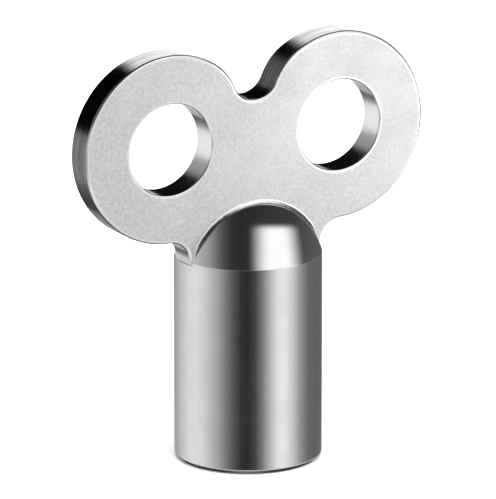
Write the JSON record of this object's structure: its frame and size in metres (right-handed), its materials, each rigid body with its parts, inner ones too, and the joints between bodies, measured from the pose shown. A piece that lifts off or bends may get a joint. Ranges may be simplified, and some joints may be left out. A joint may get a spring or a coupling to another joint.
{
  "type": "radiator bleed key",
  "caption": "Radiator bleed key: domed round barrel with a square drive socket in its open end, turned by a flat butterfly plate with a hole through each lobe.",
  "frame": {"origin": "on the barrel's axis, at the barrel's open end", "axes": "+Z along the barrel's axis from the open end towards the handle; the handle plate lies in the XZ plane, with its two faces pointing along -Y and +Y"},
  "size_m": [0.0286, 0.011, 0.0317],
  "materials": {
    "plate_nickel": "stamped steel, tumbled and nickel plated, satin with a fine grain",
    "barrel_nickel": "turned steel, bright nickel plated",
    "sleeve_steel": "hardened steel, broached, nickel washed",
    "braze": "silver braze, nickel plated over with the rest"
  },
  "bodies": {
    "root": {"handle_plate": "plate_nickel", "barrel": "barrel_nickel", "drive_sleeve": "sleeve_steel", "front_braze_bead": "braze", "rear_braze_bead": "braze"}
  },
  "joints": []
}
